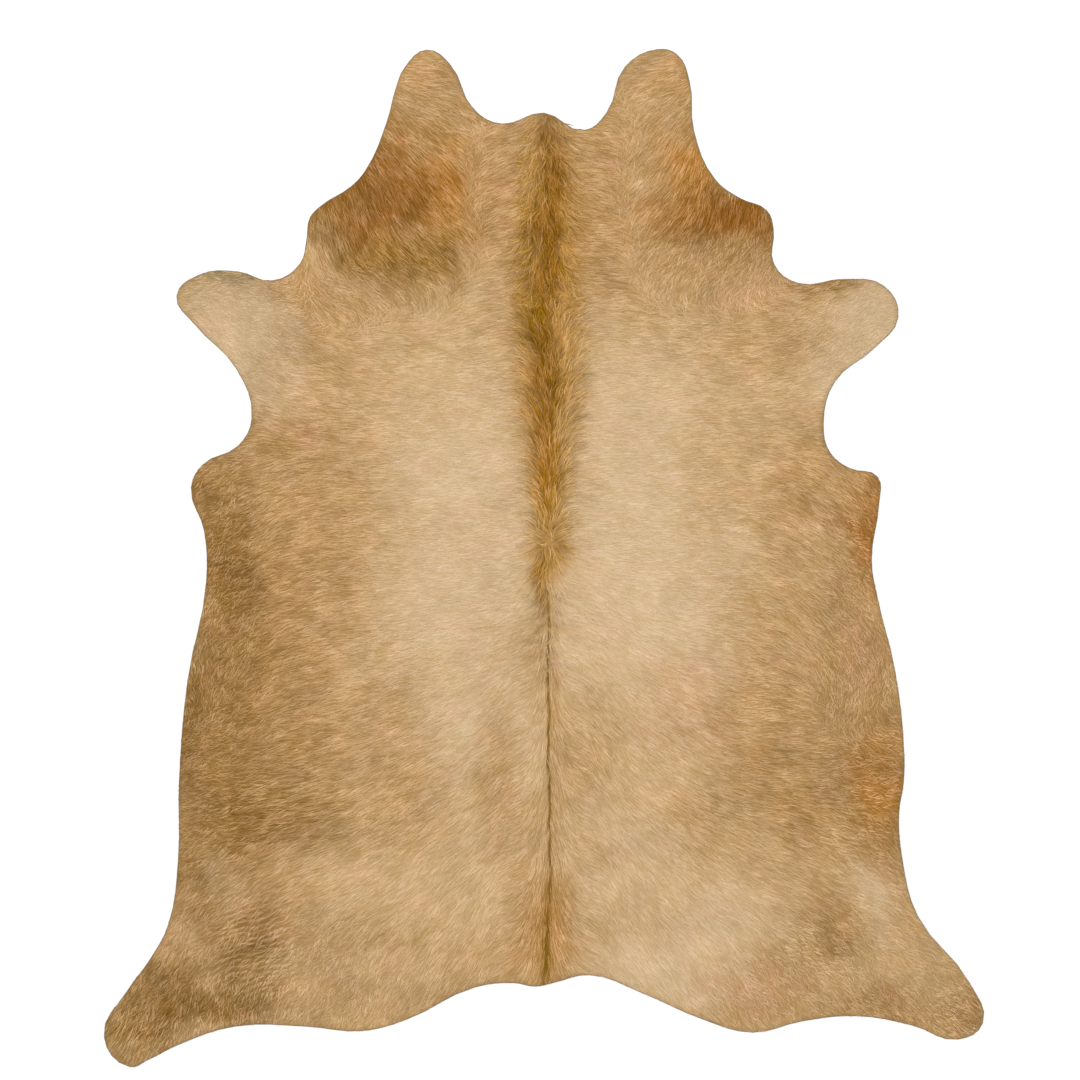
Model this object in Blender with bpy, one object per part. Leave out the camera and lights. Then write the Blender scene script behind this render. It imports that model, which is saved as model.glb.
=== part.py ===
# Cowhide rug: one whole hide, tanned with its hair on, cut to a smooth outline and laid flat on the floor, coat up.
#
# The hide is a single closed sheet. Its underside is plain leather, flat on the floor. Its edge is rounded and thin, and
# its top is the coat: a mane of long locks along the spine, a whorl of hair in the middle of the back, a parting from
# there to the tail, wavy hair on one thigh, rough tufts on the hind feet, and short lying hair everywhere else.
#
# Frame: +Y points to the neck and +X to the hide's right as it is seen from above. +Z is up. The origin lies on the
# floor under the middle of the hide's length and width.

import math
from collections import namedtuple

import bmesh
import bpy
import numpy as np
from mathutils import Vector, noise
from mathutils.geometry import delaunay_2d_cdt

MM = 0.001

# Driving dimensions, in metres
HIDE_LENGTH = 2.036  # along Y, from the hind feet to the tips of the cheeks
HIDE_WIDTH = 1.760  # along X, from hind foot to hind foot
LEATHER = 0.0024  # the tanned skin alone
COAT = 0.0028  # short hair lying flat on the skin
EDGE_ROLL = 0.022  # the coat thins out to the cut edge over this width

# The cut edge, as (x, y) in millimetres, down the left side, along the tail end and up the right side.
# The finished curve is then fitted to HIDE_LENGTH and HIDE_WIDTH.
OUTLINE_MM = {
    "left cheek": [(-233, 1018), (-277, 983), (-294, 944), (-313, 874), (-356, 776), (-385, 744), (-444, 706)],
    "left shoulder": [(-467, 681), (-473, 640), (-487, 589), (-542, 556), (-610, 574)],
    "left forefoot": [(-689, 567), (-733, 525), (-698, 469), (-613, 378)],
    "left armpit": [(-583, 280), (-610, 225)],
    "left belly": [(-680, 188), (-704, 141), (-678, 55), (-674, -49), (-711, -245)],
    "left flank": [(-728, -447), (-730, -604), (-750, -735), (-786, -803)],
    "left hind foot": [(-832, -867), (-878, -958), (-827, -1019), (-790, -1005), (-732, -976)],
    "left rump": [(-616, -938), (-475, -938), (-362, -947), (-273, -924), (-138, -860)],
    "tail root": [(-59, -851), (-16, -858), (19, -851), (93, -835)],
    "right rump": [(197, -871), (319, -924), (417, -950), (515, -928), (625, -917), (738, -936)],
    "right hind foot": [(828, -964), (878, -931), (852, -851)],
    "right flank": [(748, -716), (717, -600), (711, -508), (720, -450), (721, -390), (703, -226), (668, -80)],
    "right belly": [(656, -4), (671, 110), (668, 163), (613, 180)],
    "right armpit": [(574, 210), (560, 268), (583, 354)],
    "right forefoot": [(662, 421), (709, 482), (681, 545), (601, 559)],
    "right shoulder": [(509, 551), (461, 589), (460, 660), (447, 696)],
    "right cheek": [(393, 721), (344, 758), (301, 856), (292, 956), (267, 1009), (228, 1019), (163, 984)],
    "neck": [(126, 892), (81, 857), (1, 892), (-83, 870), (-138, 898), (-187, 990)],
}
CURVE_STEPS = 4  # straight steps from one outline point to the next

# The rounded edge, from the floor up: how far in from the outline, and how high, in millimetres
EDGE_PROFILE_MM = [(0.8, 0.0), (0.0, 1.5), (1.5, 3.1)]
INNER_RING_INSET = 0.011

# The line of the backbone, as (x, y) in millimetres, from the neck to the tail
SPINE_MM = [(2, 892), (8, 700), (8, 516), (9, 34), (8, -280), (12, -580), (13, -620), (6, -745), (-2, -858)]

# The mane, row by row from the tail side to the neck. y is the row's place along the spine, left and right are how far
# its locks reach to each side, and height is how far its ridge stands over the flat coat, all in millimetres. Slant is
# how far a lock runs towards the neck for each millimetre that it runs outwards.
ManeRow = namedtuple("ManeRow", "y left right height slant")
MANE = [
    ManeRow(-236, 14, 12, 0.6, -1.7),
    ManeRow(-104, 24, 18, 1.5, -1.5),
    ManeRow(-50, 36, 28, 2.0, -1.2),
    ManeRow(110, 40, 46, 2.6, 1.3),
    ManeRow(216, 42, 66, 3.8, 1.4),
    ManeRow(316, 58, 76, 4.8, 1.3),
    ManeRow(416, 68, 84, 5.4, 1.1),
    ManeRow(500, 76, 70, 5.8, 0.9),
    ManeRow(532, 76, 68, 5.8, -0.8),
    ManeRow(620, 74, 66, 5.4, -0.9),
    ManeRow(716, 64, 66, 4.8, -1.0),
    ManeRow(800, 50, 58, 4.0, -1.1),
    ManeRow(848, 36, 44, 2.6, -1.2),
]
MANE_MEETS = 0.516  # here the locks from the neck meet the locks from the whorl
LOCK_WIDTH = 0.028  # one lock of the mane and the dip beside it, along the spine
LOCK_HEIGHT = 0.0019  # a lock's crest over the ridge, and the dip's depth under it
LOCK_UNEVEN = 0.5  # how much the locks differ in height and reach
LOCK_CURL = 0.35  # how much of its slant a lock has lost at its tip
EDGE_CLEAR = 0.020  # locks and tufts end this far inside the cut edge
# Along a lock, from the spine to its tip: share of its reach, and share of its height
LOCK_SECTION = [(0.22, 0.6), (0.46, 1.0), (0.72, 0.9), (1.0, 0.4)]

# The whorl, where the hair of the back turns out from one point like a star
WHORL_Y = 0.034
WHORL_RINGS_MM = [14, 28, 44, 62]
WHORL_LOCKS = 15
WHORL_LOCK_HEIGHT = 0.0014
WHORL_DIP = 0.0018

# The parting from the whorl to the tail root, with a groove between two low shoulders
PARTING_FROM = -0.265
PARTING_TO = -0.825
PARTING_ROW = 0.028
# Across the parting: distance from its line and height over the flat coat, in millimetres
PARTING_SECTION_MM = [(0, -1.5), (6, 0.7), (20, 0.3), (42, 0.0)]
TAIL_FROM = -0.620  # from here to its end the hair of the tail root stands higher
TAIL_RISE = 0.0012

# Wavy hair on the left thigh: the patch's middle, its size along and across the waves, and the waves' turn in degrees
WavePatch = namedtuple("WavePatch", "x y along across turn")
WAVES = WavePatch(-572, -786, 130, 190, 22)
WAVE_PITCH = 0.022
WAVE_HEIGHT = 0.0008

# Rough tufts on the hind feet: the middle and the size of each patch, in millimetres
Patch = namedtuple("Patch", "x y radius")
TUFT_PATCHES = {
    "left hind foot": Patch(-812, -952, 92),
    "right hind foot": Patch(818, -895, 92),
}
TUFT_PITCH = 0.0150
TUFT_HEIGHT = 0.0024

# The flat coat between these features
FIELD_PITCH = 0.044
FIELD_SWELL = 0.0006  # how far its surface rises and falls
FIELD_SWELL_LENGTH = 0.210

COAT_COLOUR = (0.540, 0.330, 0.145, 1.0)
COAT_ROUGHNESS = 0.82


def clear_objects():
    for item in list(bpy.data.objects):
        bpy.data.objects.remove(item, do_unlink=True)


def smooth_step(value):
    value = min(max(value, 0.0), 1.0)
    return value * value * (3.0 - 2.0 * value)


def uneven(key):
    """A factor near 1 that differs from one lock to the next and is the same each run."""
    return 1.0 + LOCK_UNEVEN * noise.noise(Vector((key * 19.0, 0.5, 2.5)))


def spine_x(y):
    """The backbone's x at a place along the hide."""
    stations = sorted((py * MM, px * MM) for px, py in SPINE_MM)
    return float(np.interp(y, [s[0] for s in stations], [s[1] for s in stations]))


def mane_at(y, column):
    """One column of the mane's table at a place along the spine."""
    return float(np.interp(y, [row.y * MM for row in MANE], [getattr(row, column) for row in MANE]))


def outline_loop():
    """The cut edge as a list of points, counter-clockwise from above, from one smooth closed curve."""
    points = [point for stretch in OUTLINE_MM.values() for point in stretch]
    curve = bpy.data.curves.new("outline", "CURVE")
    curve.dimensions = "3D"
    curve.resolution_u = CURVE_STEPS
    spline = curve.splines.new("BEZIER")
    spline.bezier_points.add(len(points) - 1)
    spline.use_cyclic_u = True
    for knot, (x, y) in zip(spline.bezier_points, points):
        knot.co = (x * MM, y * MM, 0.0)
        knot.handle_left_type = "AUTO"
        knot.handle_right_type = "AUTO"
    guide = bpy.data.objects.new("outline", curve)
    bpy.context.collection.objects.link(guide)
    bpy.context.view_layer.update()
    mesh = bpy.data.meshes.new_from_object(guide.evaluated_get(bpy.context.evaluated_depsgraph_get()))
    loop = np.array([vertex.co[:2] for vertex in mesh.vertices])
    bpy.data.objects.remove(guide, do_unlink=True)
    bpy.data.curves.remove(curve)
    bpy.data.meshes.remove(mesh)
    low, high = loop.min(axis=0), loop.max(axis=0)
    return (loop - (low + high) / 2) * np.array((HIDE_WIDTH, HIDE_LENGTH)) / (high - low)


def inset(loop, distance):
    """The same loop of points, moved inwards."""
    along = np.roll(loop, -1, axis=0) - np.roll(loop, 1, axis=0)
    inwards = np.stack((-along[:, 1], along[:, 0]), axis=1)
    return loop + inwards / np.linalg.norm(inwards, axis=1)[:, None] * distance


def edge_distance(loop, x, y):
    """How far a point lies inside the outline, negative outside it."""
    point = np.array((x, y))
    start, end = loop, np.roll(loop, -1, axis=0)
    side = end - start
    share = np.clip(((point - start) * side).sum(axis=1) / (side * side).sum(axis=1), 0.0, 1.0)
    distance = np.linalg.norm(start + side * share[:, None] - point, axis=1).min()
    crosses = (start[:, 1] > y) != (end[:, 1] > y)
    at_x = start[crosses, 0] + side[crosses, 0] * (y - start[crosses, 1]) / side[crosses, 1]
    return distance if (at_x > x).sum() % 2 else -distance


class CoatNet:
    """Points of the coat's surface, with the crests and dips that the mesh has to follow."""

    def __init__(self, loop):
        self.loop = loop
        self.places = []
        self.heights = []
        self.lines = []

    def flat_height(self, x, y):
        """The plain coat: thin at the cut edge, full further in, with a slight swell."""
        edge = EDGE_PROFILE_MM[-1][1] * MM
        full = LEATHER + COAT
        swell = FIELD_SWELL * noise.noise(Vector((x, y, 0.0)) / FIELD_SWELL_LENGTH)
        rise = smooth_step(edge_distance(self.loop, x, y) / EDGE_ROLL)
        return edge + (full + swell - edge) * rise

    def add(self, x, y, extra=0.0):
        self.places.append((x, y))
        self.heights.append(self.flat_height(x, y) + extra)
        return len(self.places) - 1

    def add_line(self, indices):
        self.lines += list(zip(indices[:-1], indices[1:]))


def add_mane(net):
    """Locks on both sides of the spine, each a crest with a dip beside it, and the ridge that they rise from."""
    low, high = MANE[0].y * MM, MANE[-1].y * MM
    whorl_reach = WHORL_RINGS_MM[-1] * MM + LOCK_WIDTH / 2
    for row in range(round((high - low) / LOCK_WIDTH) + 1):
        y = low + row * LOCK_WIDTH
        if abs(y - WHORL_Y) > whorl_reach:
            net.add(spine_x(y), y, mane_at(y, "height") * MM)
    for side, column, shift in ((-1, "left", 0.0), (1, "right", 0.4)):
        for row in range(round((high - low) / LOCK_WIDTH * 2)):
            y = low + (row + shift) * LOCK_WIDTH / 2
            crest = 1 if row % 2 else -1
            if abs(y - WHORL_Y) > whorl_reach:
                add_lock(net, side, column, y, crest, uneven(row // 2 + side * 40))


def add_lock(net, side, column, y, crest, factor):
    """One slanted crest or dip. It ends short where it would run into the whorl, the edge or the other locks."""
    reach = mane_at(y, column) * MM * (0.5 + 0.5 * factor)
    height, slant = mane_at(y, "height") * MM, mane_at(y, "slant")
    line = []
    for share, lift in LOCK_SECTION:
        lock_y = y + slant * share * reach * (1.0 - LOCK_CURL * share)
        crosses_meeting = (lock_y - MANE_MEETS) * (y - MANE_MEETS) <= 0
        if crosses_meeting or abs(lock_y - MANE_MEETS) < LOCK_WIDTH / 5:
            break
        x = spine_x(lock_y) + side * share * reach
        if edge_distance(net.loop, x, lock_y) < EDGE_CLEAR:
            break
        ridge = height * math.cos(share * math.pi / 2) ** 1.2
        line.append(net.add(x, lock_y, ridge + crest * LOCK_HEIGHT * factor * lift))
    net.add_line(line)


def add_whorl(net):
    """A star of short locks around one dip."""
    centre = Vector((spine_x(WHORL_Y), WHORL_Y))
    ridge = mane_at(WHORL_Y, "height") * MM
    net.add(centre.x, centre.y, ridge * 0.4 - WHORL_DIP)
    spokes = WHORL_LOCKS * 2
    for spoke in range(spokes):
        angle = 2 * math.pi * spoke / spokes
        crest = 1 if spoke % 2 else -1
        line = []
        for ring, radius in enumerate(WHORL_RINGS_MM):
            if ring == 0 and spoke % 2:
                continue
            share = radius / WHORL_RINGS_MM[-1]
            place = centre + Vector((math.cos(angle), math.sin(angle))) * radius * MM
            away_from_spine = 1.0 - abs(math.sin(angle))
            height = ridge * math.cos(share * math.pi / 2 * away_from_spine) * (0.6 + 0.4 * share)
            line.append(net.add(place.x, place.y, height + crest * WHORL_LOCK_HEIGHT * (1.0 - 0.4 * share)))
        net.add_line(line)


def add_parting(net):
    """Rows across the parting, which fade at both ends and rise at the tail root."""
    count = round((PARTING_FROM - PARTING_TO) / PARTING_ROW)
    places = [(-offset, height) for offset, height in PARTING_SECTION_MM[:0:-1]] + PARTING_SECTION_MM
    rows = []
    for row in range(count + 1):
        y = PARTING_FROM - row * PARTING_ROW
        fade = smooth_step(min(row, count - row) / 2 + 0.3)
        tail = TAIL_RISE * smooth_step((TAIL_FROM - y) / 0.08) * fade
        rows.append([])
        for offset, height in places:
            near = math.cos(offset / PARTING_SECTION_MM[-1][0] * math.pi / 2) ** 2
            rows[-1].append(net.add(spine_x(y) + offset * MM, y, height * MM * fade + tail * near))
    for line in zip(*rows):
        net.add_line(list(line))


def add_waves(net):
    """Rows of wavy hair, alternately high and low."""
    turn = math.radians(WAVES.turn)
    along = Vector((math.cos(turn), math.sin(turn)))
    across = along.orthogonal()
    rows = round(WAVES.across * MM / WAVE_PITCH * 2)
    for row in range(rows + 1):
        offset = (row - rows / 2) * WAVE_PITCH / 2
        line = []
        for share in (-1.0, -0.5, 0.0, 0.5, 1.0):
            place = Vector((WAVES.x, WAVES.y)) * MM + along * share * WAVES.along * MM / 2 + across * offset
            fade = (1.0 - 0.7 * abs(share)) * (1.0 - smooth_step(abs(row / rows * 2 - 1.0)))
            crest = 1 if row % 2 else -1
            line.append(net.add(place.x, place.y, crest * WAVE_HEIGHT * fade))
        net.add_line(line)


def add_tufts(net):
    """Patches of short rough tufts, each a small bump of its own height."""
    for patch in TUFT_PATCHES.values():
        centre, radius = Vector((patch.x, patch.y)) * MM, patch.radius * MM
        steps = math.ceil(radius / TUFT_PITCH)
        for row in range(-steps, steps + 1):
            for column in range(-steps, steps + 1):
                x = centre.x + (column + row % 2 / 2) * TUFT_PITCH
                y = centre.y + row * TUFT_PITCH * math.sqrt(3) / 2
                share = (Vector((x, y)) - centre).length / radius
                if share < 1 and edge_distance(net.loop, x, y) > EDGE_CLEAR:
                    bump = 0.5 + noise.noise(Vector((x, y, 1.0)) / (TUFT_PITCH * 1.3))
                    net.add(x, y, TUFT_HEIGHT * bump * (1.0 - smooth_step(share)))


def add_field(net):
    """The rest of the coat: even rows of points, clear of the edge and of the features."""
    taken = np.array(net.places)
    columns = math.ceil(HIDE_WIDTH / 2 / FIELD_PITCH)
    row_pitch = FIELD_PITCH * math.sqrt(3) / 2
    rows = math.ceil(HIDE_LENGTH / 2 / row_pitch)
    for row in range(-rows, rows + 1):
        for column in range(-columns, columns + 1):
            x, y = (column + row % 2 / 2) * FIELD_PITCH, row * row_pitch
            alone = np.hypot(*(taken - (x, y)).T).min() > FIELD_PITCH * 0.55
            if alone and edge_distance(net.loop, x, y) > INNER_RING_INSET:
                net.add(x, y)


def coat_surface(rim, top_ring):
    """The triangles of the coat inside the top ring of the edge, as places, heights, faces and border indices."""
    net = CoatNet(rim)
    for x, y in top_ring:
        net.places.append((x, y))
        net.heights.append(EDGE_PROFILE_MM[-1][1] * MM)
    border = list(range(len(top_ring)))
    net.add_line(border + [0])
    inner = [net.add(x, y) for x, y in inset(rim, INNER_RING_INSET)]
    net.add_line(inner + inner[:1])
    add_mane(net)
    add_whorl(net)
    add_parting(net)
    add_waves(net)
    add_tufts(net)
    add_field(net)
    inside_only = 1
    merge_distance = 1e-6
    found = delaunay_2d_cdt([Vector(place) for place in net.places], net.lines, [], inside_only, merge_distance)
    vertices, faces, origins = found[0], found[2], found[3]
    heights = [net.heights[origin[0]] for origin in origins]
    number_of = {origin[0]: number for number, origin in enumerate(origins)}
    return vertices, heights, faces, [number_of[index] for index in border]


def build_hide():
    rim = outline_loop()
    rings = [(inset(rim, step * MM), height * MM) for step, height in EDGE_PROFILE_MM]
    shape = bmesh.new()
    loops = [[shape.verts.new((x, y, height)) for x, y in ring] for ring, height in rings[:-1]]

    vertices, heights, faces, border = coat_surface(rim, rings[-1][0])
    coat = [shape.verts.new((place[0], place[1], height)) for place, height in zip(vertices, heights)]
    for face in faces:
        shape.faces.new([coat[index] for index in face])
    loops.append([coat[index] for index in border])

    for lower, upper in zip(loops[:-1], loops[1:]):
        for start in range(len(lower)):
            end = (start + 1) % len(lower)
            shape.faces.new((lower[start], lower[end], upper[end], upper[start]))
    underside = shape.faces.new(reversed(loops[0]))
    bmesh.ops.triangulate(shape, faces=[underside], ngon_method="BEAUTY")
    bmesh.ops.recalc_face_normals(shape, faces=shape.faces)

    mesh = bpy.data.meshes.new("hide")
    shape.to_mesh(mesh)
    shape.free()
    mesh.shade_smooth()
    mesh.set_sharp_from_angle(angle=math.radians(75))
    mesh.materials.append(coat_material())
    hide = bpy.data.objects.new("hide", mesh)
    bpy.context.collection.objects.link(hide)
    return hide


def coat_material():
    """Tan cowhair: pale caramel, dull."""
    material = bpy.data.materials.new("cowhair")
    material.use_nodes = True
    surface = material.node_tree.nodes["Principled BSDF"]
    surface.inputs["Base Color"].default_value = COAT_COLOUR
    surface.inputs["Roughness"].default_value = COAT_ROUGHNESS
    surface.inputs["Metallic"].default_value = 0.0
    return material


clear_objects()
build_hide()
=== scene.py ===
import math

import bpy
import numpy as np
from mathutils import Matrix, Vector
from mathutils.bvhtree import BVHTree
from mathutils.kdtree import KDTree


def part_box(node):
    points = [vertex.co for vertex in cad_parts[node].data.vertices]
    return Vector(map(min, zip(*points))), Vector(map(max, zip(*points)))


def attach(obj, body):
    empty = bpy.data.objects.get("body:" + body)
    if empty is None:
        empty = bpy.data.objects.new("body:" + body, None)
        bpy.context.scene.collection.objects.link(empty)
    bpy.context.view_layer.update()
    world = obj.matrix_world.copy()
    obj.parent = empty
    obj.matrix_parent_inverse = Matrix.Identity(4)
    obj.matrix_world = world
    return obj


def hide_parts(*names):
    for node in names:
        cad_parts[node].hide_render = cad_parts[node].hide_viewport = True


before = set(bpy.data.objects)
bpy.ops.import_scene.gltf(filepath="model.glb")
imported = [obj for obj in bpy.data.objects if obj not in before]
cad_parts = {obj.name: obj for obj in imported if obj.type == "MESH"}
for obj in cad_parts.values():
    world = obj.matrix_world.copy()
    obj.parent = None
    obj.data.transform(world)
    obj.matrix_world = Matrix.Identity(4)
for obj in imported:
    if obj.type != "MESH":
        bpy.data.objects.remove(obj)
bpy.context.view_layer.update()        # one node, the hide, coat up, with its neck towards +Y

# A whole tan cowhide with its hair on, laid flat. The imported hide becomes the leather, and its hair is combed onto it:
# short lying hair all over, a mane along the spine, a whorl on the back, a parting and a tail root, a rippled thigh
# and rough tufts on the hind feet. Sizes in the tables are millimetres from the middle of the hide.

mm = 0.001


# Small helpers

def deselectAll():
    bpy.ops.object.select_all(action="DESELECT")


def linear(tone):    # a tone as seen on a screen, 0 to 255, as the shader wants it
    return tuple((v / 255 / 12.92) if v < 10.3 else ((v / 255 + 0.055) / 1.055) ** 2.4 for v in tone)


def smoothStep(value):
    value = np.clip(value, 0, 1)
    return value * value * (3 - 2 * value)


def between(pair, share):
    return pair[0] + (pair[1] - pair[0]) * share


def column(rows, number):
    return np.array([row[number] for row in rows], float)


# Colours. Each tone is how that part of the coat looks in even light.

tones = {
    "tan": (195, 160, 113),
    "wheat": (212, 185, 147),
    "sand": (207, 175, 131),
    "ash": (200, 172, 134),
    "honey": (190, 145, 82),
    "gold": (202, 158, 100),
    "rose": (201, 156, 114),
    "fawn": (188, 147, 97),
    "hazel": (172, 132, 79),
    "umber": (150, 110, 52),
    "olive": (154, 112, 46),
    "caramel": (184, 132, 68),
    "amber": (174, 118, 56),
    "russet": (150, 98, 33),
    "walnut": (148, 100, 40),
    "grey": (160, 140, 102),
    "rosy": (210, 164, 122),
    "greenish": (192, 160, 106),
    "suede": (196, 180, 154),
    "darkSuede": (178, 158, 128),
    "nap": (150, 130, 102),
    "cut": (128, 110, 82),
    "darkCut": (102, 84, 58),
}


def toneColour(name):    # with the fourth value that a colour socket wants
    return (*linear(tones[name]), 1)


# Patches of the coat: tone, place x and y, half width, half length, turn in degrees, and how strongly it shows.
# Where patches overlap, the later one lies over the earlier.
patches = {
    "back": [
        ("wheat", -170, 210, 190, 270, 0, 0.9),
        ("wheat", -195, -100, 185, 220, 0, 0.85),
        ("wheat", -120, -370, 160, 220, 0, 0.85),
        ("wheat", 175, 60, 180, 380, 0, 0.95),
        ("wheat", 250, -200, 170, 260, 0, 0.8),
        ("sand", -230, 400, 160, 190, 0, 0.7),
        ("wheat", 190, 340, 220, 150, 0, 0.6),
        ("sand", 430, 300, 90, 80, 0, 0.6),
        ("sand", -150, -660, 170, 160, 0, 0.8),
        ("sand", -330, -660, 150, 80, 0, 0.7),
        ("wheat", 170, -600, 170, 200, 0, 0.6),
        ("sand", 215, -420, 120, 110, 0, 0.6),
        ("wheat", 250, -820, 210, 110, 0, 0.85),
        ("wheat", 360, -710, 150, 100, 0, 0.7),
        ("wheat", 60, -170, 70, 170, 0, 0.7),
        ("wheat", -60, 0, 60, 150, 0, 0.75),
        ("fawn", 280, -510, 80, 50, 0, 0.5),
        ("sand", 350, 180, 130, 170, 0, 0.5),
        ("wheat", 350, 0, 90, 90, 0, 0.6),
        ("fawn", -290, -230, 110, 130, 0, 0.2),
        ("fawn", -260, -440, 180, 120, 0, 0.4),
        ("fawn", -90, -430, 70, 180, 0, 0.65),
        ("fawn", 110, -590, 80, 60, 0, 0.35),
        ("fawn", -290, 456, 80, 50, 0, 0.35),
        ("rose", 280, -280, 120, 140, 0, 0.45),
        ("fawn", 430, -290, 120, 140, 0, 0.55),
    ],
    "left flank": [
        ("fawn", -480, -60, 160, 440, 0, 0.75),
        ("hazel", -620, -270, 180, 560, 0, 0.9),
        ("umber", -630, 0, 80, 140, 0, 0.55),
        ("umber", -530, -520, 210, 110, 0, 0.55),
        ("umber", -720, -320, 60, 240, 0, 0.45),
        ("hazel", -450, -370, 90, 110, 0, 0.45),
        ("sand", -370, -200, 60, 90, 0, 0.35),
        ("hazel", -670, 150, 110, 110, 0, 0.85),
        ("hazel", -560, 250, 130, 70, 0, 0.45),
        ("ash", -610, 210, 60, 50, 0, 0.2),
        ("grey", -705, -180, 40, 60, 0, 0.5),
    ],
    "left leg": [
        ("wheat", -640, -660, 60, 100, 20, 0.2),
        ("hazel", -590, -760, 120, 90, 10, 0.6),
        ("umber", -590, -800, 90, 60, 10, 0.35),
        ("umber", -700, -650, 60, 130, 20, 0.45),
        ("umber", -790, -900, 160, 100, 50, 0.72),
        ("umber", -650, -885, 140, 64, 0, 0.75),
        ("sand", -320, -830, 150, 60, 0, 0.4),
    ],
    "right flank": [
        ("hazel", 630, -290, 190, 480, 0, 0.35),
        ("rose", 632, -200, 70, 90, 0, 0.5),
        ("caramel", 665, -450, 90, 160, 0, 0.8),
        ("hazel", 470, -430, 170, 110, 0, 0.5),
        ("hazel", 510, -510, 80, 60, 0, 0.6),
        ("amber", 660, 70, 80, 180, 0, 0.8),
        ("fawn", 540, 150, 130, 110, 0, 0.6),
    ],
    "right leg": [
        ("wheat", 655, -690, 70, 110, 20, 0.7),
        ("hazel", 585, -735, 84, 90, 0, 0.5),
        ("rose", 400, -850, 130, 80, 0, 0.5),
        ("sand", 640, -815, 120, 50, -10, 0.4),
        ("sand", 750, -800, 80, 50, -45, 0.35),
        ("hazel", 690, -905, 160, 44, -8, 0.5),
        ("hazel", 850, -905, 60, 70, 0, 0.6),
    ],
    "cheeks": [
        ("caramel", -205, 730, 100, 140, 15, 0.95),
        ("hazel", -290, 855, 80, 70, 0, 0.8),
        ("hazel", -200, 860, 70, 60, 0, 0.6),
        ("olive", -280, 590, 150, 90, -10, 0.8),
        ("olive", -370, 615, 90, 60, -10, 0.6),
        ("olive", -210, 616, 60, 60, 0, 0.6),
        ("umber", -455, 690, 70, 80, 0, 0.7),
        ("russet", -320, 730, 130, 120, 0, 0.85),
        ("russet", -370, 672, 100, 50, 0, 0.7),
        ("amber", -320, 810, 50, 60, 0, 0.5),
        ("hazel", -130, 700, 50, 110, 0, 0.4),
        ("caramel", 240, 680, 80, 80, 0, 0.5),
        ("fawn", 330, 600, 150, 60, 0, 0.7),
        ("hazel", 420, 610, 110, 60, 0, 0.45),
        ("caramel", 290, 765, 74, 130, 20, 0.9),
        ("russet", 385, 690, 130, 74, -25, 0.95),
        ("russet", 320, 668, 150, 50, -10, 0.45),
        ("fawn", -235, 960, 80, 70, 0, 0.7),
        ("fawn", 255, 956, 80, 70, 0, 0.7),
        ("fawn", 195, 850, 60, 60, 0, 0.5),
    ],
    "neck and shoulders": [
        ("fawn", -98, 756, 80, 280, 0, 0.7),
        ("fawn", 112, 700, 90, 290, 0, 0.75),
        ("fawn", -430, 500, 130, 100, 0, 0.45),
        ("rose", 450, 536, 120, 60, 0, 0.4),
        ("rose", -508, 266, 100, 44, 0, 0.3),
        ("sand", -120, 530, 60, 70, 0, 0.5),
        ("sand", 120, 450, 60, 70, 0, 0.6),
    ],
    "forelegs": [
        ("ash", -620, 480, 170, 140, 0, 0.85),
        ("ash", -550, 370, 100, 130, 0, 0.6),
        ("wheat", -630, 420, 120, 120, 0, 0.65),
        ("fawn", -500, 545, 80, 60, 0, 0.5),
        ("wheat", 655, 480, 140, 90, 0, 0.9),
        ("wheat", 590, 370, 130, 80, 30, 0.8),
        ("grey", -610, 566, 120, 22, 0, 0.7),
        ("hazel", 565, 548, 90, 26, 5, 0.7),
    ],
    "mane": [
        ("honey", 6, 640, 84, 280, 0, 0.85),
        ("honey", 8, 330, 74, 220, 0, 0.85),
        ("honey", 8, 130, 40, 130, 0, 0.8),
        ("gold", 8, 16, 42, 60, 0, 0.85),
        ("olive", -4, -44, 22, 80, 0, 0.7),
        ("walnut", 14, 740, 34, 200, 0, 0.8),
        ("walnut", -4, 666, 44, 40, 0, 0.6),
        ("walnut", 4, 570, 50, 60, 0, 0.7),
        ("olive", -18, 480, 44, 80, 0, 0.8),
        ("walnut", 2, 310, 36, 240, 0, 0.75),
        ("caramel", 8, 170, 26, 110, 0, 0.6),
        ("fawn", 20, -320, 12, 260, 0, 0.5),
        ("fawn", -46, -740, 40, 160, 0, 0.5),
        ("caramel", 10, -740, 60, 160, 0, 0.6),
        ("olive", 4, -760, 14, 150, 0, 0.8),
    ],
}

patchEdge = {
    "reach": 1.15,         # a patch has faded out at this many times its half size
    "full": 0.78,          # its gradient runs from 1 in the middle to 0 there, and over this it shows fully
    "ragScale": 11.0,      # the noise that makes its edge wander, and how far, in metres
    "rag": 0.18,
    "maneRag": 0.04,
}

mottling = {
    "blotch": 0.075,       # size of the soft blotches in the colour, in metres
    "paleDepth": 0.325,    # how much lighter and darker they are where the coat is pale
    "darkDepth": 1.05,     # and where it is dark
    "hueSize": 0.055,      # size of the rosy and greenish specks of tone
    "hueStart": 0.02,      # they begin this far from the noise's middle, and are strongest at the next
    "hueFull": 0.25,
    "hueDepth": 0.45,
    "pale": 0.50,          # the brightness of pale coat and of dark coat
    "dark": 0.22,
}


def addNode(tree, kind, inputs=None, **settings):
    node = tree.nodes.new(kind)
    for name, value in settings.items():
        setattr(node, name, value)
    for name, value in (inputs or {}).items():
        if isinstance(value, bpy.types.NodeSocket):
            tree.links.new(value, node.inputs[name])
        else:
            node.inputs[name].default_value = value
    return node


def mixTones(tree, factor, first, second, blend="MIX"):    # the Mix node's colour sockets are numbers 6 and 7
    node = tree.nodes.new("ShaderNodeMix")
    node.data_type = "RGBA"
    node.blend_type = blend
    for number, value in ((0, factor), (6, first), (7, second)):
        if isinstance(value, bpy.types.NodeSocket):
            tree.links.new(value, node.inputs[number])
        else:
            node.inputs[number].default_value = value
    return node.outputs[2]


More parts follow.
